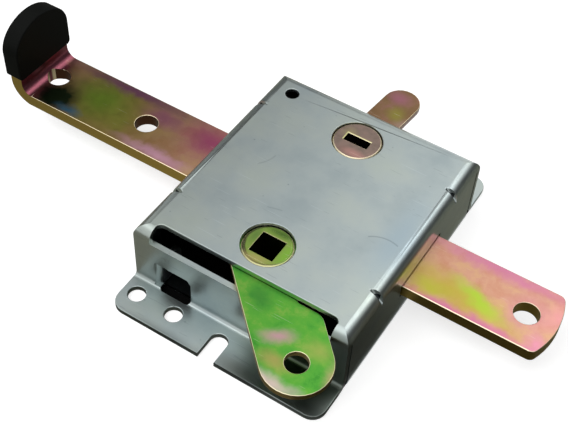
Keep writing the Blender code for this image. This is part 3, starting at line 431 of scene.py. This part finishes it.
def ride(obj, name):
    """Lets a piece stand in for its CAD node and move with its body."""
    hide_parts(name)
    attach(obj, body_of[name])


# Case

case_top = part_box("case")[1].z
case = dress("case", SHEET_ROLL, levels=(case_top, SHEET), sharp_turn=PRESSED_TURN, even=False)
zinc = clear_zinc_sheet()
case.data.materials.append(zinc)
ride(case, "case")


# Bolt

BAR_GROUND = [(0.30, "#b57f66"), (0.42, "#be8a72"), (0.52, "#c2937b"), (0.62, "#c69c78"), (0.74, "#bd8880")]
BAR_PATCHES = [
    ((-86, 3), (46, 60), 0, "#9a8448", 1.0),
    ((-92, 4), (20, 17), 0, "#7d9636", 1.0),
    ((-81, -1), (10, 9), 0, "#8f9040", 0.8),
    ((-107.5, -4), (12, 11), 25, "#26331e", 1.5),
    ((-99, -6.6), (8, 3.6), 0, "#4d7c98", 1.0),
    ((-46, 9), (19, 13), 0, "#a85074", 0.95),
    ((-68, 9), (14, 7), 0, "#a0607c", 0.8),
    # A painted highlight: pale pink along the bar's near edge
    ((-60, -7), (24, 4), 0, "#e0aabc", 1.0),
    ((-85, 15), (40, 5), 0, "#80506e", 0.95),
    ((-43, -8), (8, 5), 0, "#d2b078", 0.8),
    # Pink film on the hook, with its bend darkened as painted shade
    ((-121, 3), (12, 80), 0, "#864c58", 2.2),
    ((56, -2), (36, 9), -10, "#b0a040", 0.9),
    ((62, -9), (44, 3.4), 0, "#c06a94", 0.85),
    ((64, 15), (44, 5), 0, "#bf7495", 0.85),
    ((77, 3.6), (10, 10), 0, "#c47f98", 0.65),
    ((62, -0.5), (16, 4.6), -22, "#a0bc3c", 0.95),
    ((86, 7), (6, 9), 0, "#d08c90", 0.8),
    ((47, -4), (12, 5), 0, "#aaa83c", 0.9),
    ((84, -6), (5, 7), 0, "#cf82a4", 0.7)]
BEND_START = -112               # mm along the bolt
HOOK_BORES = ((-117, -8, 0), (-40, 15, 20))

bolt = dress("bolt", BAR_ROLL, segments=2, levels=(BAR_TOP, BAR_UNDERSIDE))
bolt.data.materials.append(chromate(
    "yellow_chromate_on_drawn_bar", BAR_GROUND, BAR_PATCHES, cut_edge="#bfa352", mottle=8.0, wander=3.4,
    bent_before=BEND_START, bores=HOOK_BORES))
ride(bolt, "bolt")

cap = dress("grip_cap", 0)
cap.data.materials.append(dipped_vinyl())
ride(cap, "grip_cap")


# Cable lever and its hub

PLATE_GREEN = [(0.30, "#3f8c34"), (0.42, "#52a03c"), (0.54, "#5fa63e"), (0.64, "#78aa48"), (0.76, "#9cac60")]
PLATE_PATCHES = [
    ((20.3, -53), (8, 4.2), 30, "#c890a4", 0.8),
    ((24, -61), (9, 5), 0, "#b0985e", 0.7),
    # A painted highlight: pale pink grey along the lower edge of the lever's end
    ((25, -68), (18, 4), 4, "#c8b8ac", 1.1),
    ((42, -57), (4, 12), 20, "#b8987a", 0.7),
    ((33, -51), (7, 6), 0, "#a9a85c", 0.6),
    # Painted shade: darker green along the lever's edge below the face
    ((8, -44), (8, 6), -40, "#3f7d38", 0.6)]

lever = dress("cable_lever", PLATE_ROLL, segments=2)
lever.data.materials.append(chromate(
    "green_chromate_on_plate", PLATE_GREEN, PLATE_PATCHES, cut_edge="#c2a866", mottle=8.0, wander=2.2))
ride(lever, "cable_lever")

# The hub's near black ground: a painted shadow where it shows on the far left of the top
HUB_SHADOW_GREEN = [(0.32, "#1a1e10"), (0.68, "#2a3018")]
HUB_PAINTED_LIGHT_AND_SHADE = [                 # the first three are crisp discs: a painted highlight on the rim at the near right, a painted dark rim and the top; then painted light on the near and right side and painted shade on the far and left side
    ((-0.51, -26.46), (8.9, 8.9), 0, "#f0f0b4", 400.0),
    ((-0.62, -26.22), (8.62, 8.62), 0, "#4a4c30", 400.0),
    ((0.0, -26.5), (7.95, 7.95), 0, "#84a04c", 60.0),
    ((-1, -33), (8, 3), 10, "#b4a668", 0.75),
    ((6.5, -27), (3, 7), 0, "#80b440", 0.8),
    ((1, -20.2), (9, 2.4), 0, "#4c6a30", 0.9),
    ((-6, -25), (2.5, 6), 0, "#5d7c42", 0.7)]
# A painted highlight: the lit edges of the square socket
SOCKET_RIM_HIGHLIGHT = [((-4.8, -31.4, 20), (4.2, -22.3, 30), "#c0bc88", 0.6)]

spindle_hub = dress("spindle_hub", SPINDLE_HUB_ROLL)
spindle_hub.data.materials.append(chromate(
    "yellow_green_chromate_on_hub", HUB_SHADOW_GREEN, HUB_PAINTED_LIGHT_AND_SHADE, cut_edge="#3d4a1c", mottle=3.0, wander=0.3,
    rim_highlights=SOCKET_RIM_HIGHLIGHT))
ride(spindle_hub, "spindle_hub")


# Lock lever and its hub

HUB_PINK = [(0.32, "#807066"), (0.5, "#8c7a70"), (0.68, "#988076")]
PINK_PATCHES = [((2, 23), (8, 3), 0, "#c59088", 0.7), ((-4, 31), (4, 4), 0, "#a59a72", 0.6)]
# A painted highlight: the lit far edge of the slot
TAIL_RIM_HIGHLIGHT = [((-5.0, 27.0, 20), (4.6, 31.2, 30), "#dcd89c", 0.9)]

key_hub = dress("key_hub", KEY_HUB_ROLL)
key_hub.data.materials.append(chromate(
    "pink_chromate_on_hub", HUB_PINK, PINK_PATCHES, cut_edge="#4a3a2a", mottle=3.0, wander=0.8,
    rim_highlights=TAIL_RIM_HIGHLIGHT))
ride(key_hub, "key_hub")

LOCK_MAUVE = [(0.32, "#826648"), (0.5, "#8a6c50"), (0.68, "#966e62")]
LOCK_PATCHES = [
    ((8, 46), (5, 5), 0, "#a88e80", 0.7),
    ((4, 50), (5, 6), 0, "#8f8a3e", 0.85),
    ((1, 58), (7, 5), 0, "#a86a80", 0.7)]

lock_lever = dress("lock_lever", PLATE_ROLL, segments=2)
mauve = chromate(
    "mauve_chromate_on_plate", LOCK_MAUVE, LOCK_PATCHES, cut_edge="#5a3c2c", mottle=5.0, wander=1.5)
lock_lever.data.materials.append(mauve)
ride(lock_lever, "lock_lever")


# Inner pieces that keep their CAD shape

steel = oiled_steel()
frame["nodes"]["back_plate"].data.materials[0] = zinc
frame["nodes"]["deadlock_pawl"].data.materials[0] = mauve
for piece_name, piece in frame["nodes"].items():
    if slot_of[piece_name] == "spring_steel":
        piece.data.materials[0] = steel


# Sleeves, bush and wave washers

def turned_ring_tree():
    """Nodes that turn a ring: a rounded section swept round a circle, which may rise and fall in waves."""
    tree = bpy.data.node_groups.new("turned_ring", "GeometryNodeTree")
    for title in ("Inside radius", "Outside radius", "Bottom", "Height", "Edge round", "Waves",
                  "Wave height"):
        tree.interface.new_socket(title, in_out="INPUT", socket_type="NodeSocketFloat")
    tree.interface.new_socket("Finish", in_out="INPUT", socket_type="NodeSocketMaterial")
    tree.interface.new_socket("Ring", in_out="OUTPUT", socket_type="NodeSocketGeometry")
    asked = tree.nodes.new("NodeGroupInput").outputs
    width = put(tree, "ShaderNodeMath", {0: asked["Outside radius"], 1: asked["Inside radius"]},
                operation="SUBTRACT").outputs[0]
    both = put(tree, "ShaderNodeMath", {0: asked["Outside radius"], 1: asked["Inside radius"]}).outputs[0]
    middle = put(tree, "ShaderNodeMath", {0: both, 1: 0.5}, operation="MULTIPLY").outputs[0]
    circle = put(tree, "GeometryNodeCurvePrimitiveCircle", {"Resolution": RING_STEPS, "Radius": middle})
    spot = put(tree, "ShaderNodeSeparateXYZ", {0: put(tree, "GeometryNodeInputPosition").outputs[0]})
    angle = put(tree, "ShaderNodeMath", {0: spot.outputs["Y"], 1: spot.outputs["X"]},
                operation="ARCTAN2").outputs[0]
    phase = put(tree, "ShaderNodeMath", {0: angle, 1: asked["Waves"]}, operation="MULTIPLY").outputs[0]
    wave = put(tree, "ShaderNodeMath", {0: phase}, operation="COSINE").outputs[0]
    half = put(tree, "ShaderNodeMath", {0: asked["Height"], 1: 0.5, 2: asked["Bottom"]},
               operation="MULTIPLY_ADD").outputs[0]
    rise = put(tree, "ShaderNodeMath", {0: wave, 1: asked["Wave height"], 2: half},
               operation="MULTIPLY_ADD").outputs[0]
    lift = put(tree, "ShaderNodeCombineXYZ", {"Z": rise})
    path = put(tree, "GeometryNodeSetPosition", {"Geometry": circle.outputs[0], "Offset": lift.outputs[0]})
    level = put(tree, "GeometryNodeSetCurveNormal", {"Curve": path.outputs[0]}, mode="Z_UP")
    section = put(tree, "GeometryNodeCurvePrimitiveQuadrilateral", {"Width": width,
                                                                    "Height": asked["Height"]})
    eased = put(tree, "GeometryNodeFilletCurve", {"Curve": section.outputs[0], "Radius": asked["Edge round"],
                                                  "Count": RING_EDGE_STEPS, "Limit Radius": True},
                mode="POLY")
    swept = put(tree, "GeometryNodeCurveToMesh", {"Curve": level.outputs[0],
                                                  "Profile Curve": eased.outputs[0]})
    whole = put(tree, "GeometryNodeRealizeInstances", {"Geometry": swept.outputs[0]})
    finished = put(tree, "GeometryNodeSetMaterial", {"Geometry": whole.outputs[0],
                                                     "Material": asked["Finish"]})
    tree.links.new(finished.outputs[0], tree.nodes.new("NodeGroupOutput").inputs[0])
    return tree


def turned_ring(tree, name, mat, thickness=None):
    """A ring that takes its sizes from its CAD node. One with a thickness is wavy."""
    low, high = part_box(name)
    pivot = (low + high) / 2
    spread = [(v.co - pivot).to_2d().length for v in frame["nodes"][name].data.vertices]
    inside = min(spread)
    outside = max(spread)
    tall = thickness or high.z - low.z
    wave_height = (high.z - low.z - tall) / 2
    obj = bpy.data.objects.new(name + "_turned", bpy.data.meshes.new(name + "_start"))
    bpy.context.scene.collection.objects.link(obj)
    step = obj.modifiers.new("turned_ring", "NODES")
    step.node_group = tree
    values = {"Inside radius": inside, "Outside radius": outside, "Bottom": low.z + wave_height,
              "Height": tall, "Edge round": min(tall, outside - inside) * RING_EDGE_SHARE,
              "Waves": WASHER_WAVES, "Wave height": wave_height, "Finish": mat}
    for socket in tree.interface.items_tree:
        if socket.in_out == "INPUT":
            step[socket.identifier] = values[socket.name]
    bpy.context.view_layer.update()
    mesh = bpy.data.meshes.new_from_object(obj.evaluated_get(bpy.context.evaluated_depsgraph_get()))
    mesh.transform(Matrix.Translation((pivot.x, pivot.y, 0)))
    mesh.name = name + "_turned"
    mesh.shade_smooth()
    mesh.set_sharp_from_angle(angle=radians(RING_TURN))
    obj.modifiers.remove(step)
    obj.data = mesh
    ride(obj, name)


ring_tree = turned_ring_tree()
for piece_name in ("spindle_sleeve", "upper_key_sleeve", "lower_key_sleeve", "stud_bush"):
    turned_ring(ring_tree, piece_name, steel)
for piece_name in ("spindle_wave_washer", "key_wave_washer"):
    turned_ring(ring_tree, piece_name, steel, WASHER_SHEET)


# Camera at the photograph's viewing angle

AZIMUTH = radians(29.74)
ELEVATION = radians(48.83)
ROLL = radians(3.56)
LENS = 69.99
CAMERA_PLACE = (0.1128, -0.2156, 0.2935)

towards = Vector((sin(AZIMUTH) * cos(ELEVATION), -cos(AZIMUTH) * cos(ELEVATION), sin(ELEVATION)))
sideways = (-towards).cross(Vector((0, 0, 1))).normalized()
upward = sideways.cross(-towards)
view = Matrix((
    sideways * cos(ROLL) + upward * sin(ROLL),
    upward * cos(ROLL) - sideways * sin(ROLL),
    towards))
camera = bpy.data.objects.new("camera", bpy.data.cameras.new("camera"))
camera.data.sensor_width = 36
camera.data.lens = LENS
camera.matrix_world = Matrix.Translation(CAMERA_PLACE) @ view.transposed().to_4x4()
bpy.context.scene.collection.objects.link(camera)
bpy.context.scene.camera = camera


# Studio

UNDER_CARD = -0.00005           # heights under the latch, from its painted cards down to the board
SHADE_CARD_LEVEL = -0.0001
BOARD = -0.0002
BOARD_HALF = 3.0
BOARD_GLOW = 0.72
WORLD_LIGHT = 0.45              # the world's strength for the light that falls on things


def lamp(name, place, size, watts):
    """A soft square lamp that looks at the middle of the latch."""
    light = bpy.data.lights.new(name, "AREA")
    light.shape = "SQUARE"
    light.size = size
    light.energy = watts
    obj = bpy.data.objects.new(name, light)
    bpy.context.scene.collection.objects.link(obj)
    obj.location = place
    obj.rotation_euler = (-Vector(place)).to_track_quat("-Z", "Y").to_euler()
    return obj


def seen_directly(tree):
    """1 for what the camera, a polished surface or a clear one sees, 0 for light that falls on things."""
    path = put(tree, "ShaderNodeLightPath").outputs
    either = put(tree, "ShaderNodeMath", {0: path["Is Camera Ray"], 1: path["Is Glossy Ray"]},
                 operation="MAXIMUM")
    return put(tree, "ShaderNodeMath", {0: either.outputs[0], 1: path["Is Transmission Ray"]},
               operation="MAXIMUM").outputs[0]


def white_world():
    """A white studio all round, which looks white and lights the latch softly."""
    world = bpy.data.worlds.new("white_studio")
    bpy.context.scene.world = world
    world.use_nodes = True
    tree = world.node_tree
    back = tree.nodes["Background"]
    back.inputs["Color"].default_value = linear("#ffffff")
    strength = put(tree, "ShaderNodeMapRange", {"Value": seen_directly(tree), "To Min": WORLD_LIGHT,
                                                "To Max": 1.0})
    tree.links.new(strength.outputs[0], back.inputs["Strength"])


def studio_card(name, corners):
    """A flat card from its four corners, as part of the studio."""
    mesh = bpy.data.meshes.new(name)
    mesh.from_pydata(corners, [], [(0, 1, 2, 3)])
    obj = bpy.data.objects.new(name, mesh)
    bpy.context.scene.collection.objects.link(obj)
    return obj


def level_card(name, x, y, z):
    """A card that lies level between two places along X and two along Y."""
    return studio_card(name, [(x[0], y[0], z), (x[1], y[0], z), (x[1], y[1], z), (x[0], y[1], z)])


def upright_card(name, x, y, top):
    """A card that stands across X, between two places along Y."""
    return studio_card(name, [(x, y[0], 0), (x, y[1], 0), (x, y[1], top), (x, y[0], top)])


def matt_board(name, colour, roughness):
    """A matt board of one colour, without any shine."""
    mat = bpy.data.materials.new(name)
    mat.use_nodes = True
    shader = mat.node_tree.nodes["Principled BSDF"]
    shader.inputs["Base Color"].default_value = linear(colour)
    shader.inputs["Roughness"].default_value = roughness
    shader.inputs["Specular IOR Level"].default_value = 0.0
    return mat


def white_floor():
    """A matt white painted board under the latch, which looks white and keeps its shadow."""
    floor = level_card("floor", (-BOARD_HALF, BOARD_HALF), (-BOARD_HALF, BOARD_HALF), BOARD)
    mat = matt_board("matt_white_board", "#bcbcbc", roughness=0.9)
    tree = mat.node_tree
    shader = tree.nodes["Principled BSDF"]
    shader.inputs["Emission Color"].default_value = linear("#ffffff")
    glow = put(tree, "ShaderNodeMath", {0: seen_directly(tree), 1: BOARD_GLOW}, operation="MULTIPLY")
    tree.links.new(glow.outputs[0], shader.inputs["Emission Strength"])
    floor.data.materials.append(mat)


def painted_shade_under_case():
    """A matt black card under the case, as painted shade: the floor seen through the case's openings looks
    dark.
    """
    card = level_card("painted_shade_under_case", (-0.0395, 0.0395), (-0.0464, 0.0464), SHADE_CARD_LEVEL)
    card.data.materials.append(matt_board("matt_black_shade_board", "#0d0d0d", roughness=1.0))


def shade_card(card, axis, start, end, colour_at_start, colour_at_end):
    """Makes a card one that only polished surfaces see, painted from one colour to another along an axis."""
    mat = bpy.data.materials.new("painted_card_" + card.name)
    mat.use_nodes = True
    tree = mat.node_tree
    tree.nodes.remove(tree.nodes["Principled BSDF"])
    place = put(tree, "ShaderNodeSeparateXYZ", {0: put(tree, "ShaderNodeTexCoord").outputs["Object"]})
    along = put(tree, "ShaderNodeMapRange", {"Value": place.outputs[axis], "From Min": start,
                                             "From Max": end}, interpolation_type="SMOOTHSTEP")
    paint = blend(tree, along.outputs[0], colour_at_start, colour_at_end)
    glow = put(tree, "ShaderNodeEmission", {"Color": paint})
    tree.links.new(glow.outputs[0], tree.nodes["Material Output"].inputs["Surface"])
    card.data.materials.append(mat)
    card.visible_camera = False
    card.visible_diffuse = False
    card.visible_shadow = False


white_world()
white_floor()
painted_shade_under_case()
lamp("key", (0.28, 0.64, 0.90), size=0.3, watts=0.5)
lamp("back", (0.06, 0.60, 1.0), size=0.4, watts=0.5)
lamp("fill", (-0.5, -0.5, 0.9), size=0.9, watts=6).visible_glossy = False
lamp("overhead", (-0.15, -0.22, 1.0), size=0.8, watts=1.9)

right_card = level_card("right_card", (0.04, 0.8), (-0.6, 0.6), UNDER_CARD)
shade_card(right_card, "Y", -0.03, 0.05, "#303029", "#7c7c6f")
right_back_card = upright_card("right_back_card", 0.8, (-0.3, 2.0), 1.3)
shade_card(right_back_card, "Z", 0.45, 1.25, "#454545", "#ffffff")
front_card = level_card("front_card", (-0.04, 0.04), (-0.6, -0.0466), UNDER_CARD)
shade_card(front_card, "X", -0.04, 0.04, "#3f3f35", "#656561")
left_ground_card = level_card("left_ground_card", (-0.6, -0.04), (-0.6, 0.6), UNDER_CARD)
shade_card(left_ground_card, "X", -0.14, -0.04, "#818176", "#959386")
left_card = upright_card("left_card", -0.5, (0.26, 1.4), 1.3)
shade_card(left_card, "Z", 0.55, 1.25, "#656565", "#ffffff")

bpy.context.scene.view_settings.view_transform = "Standard"
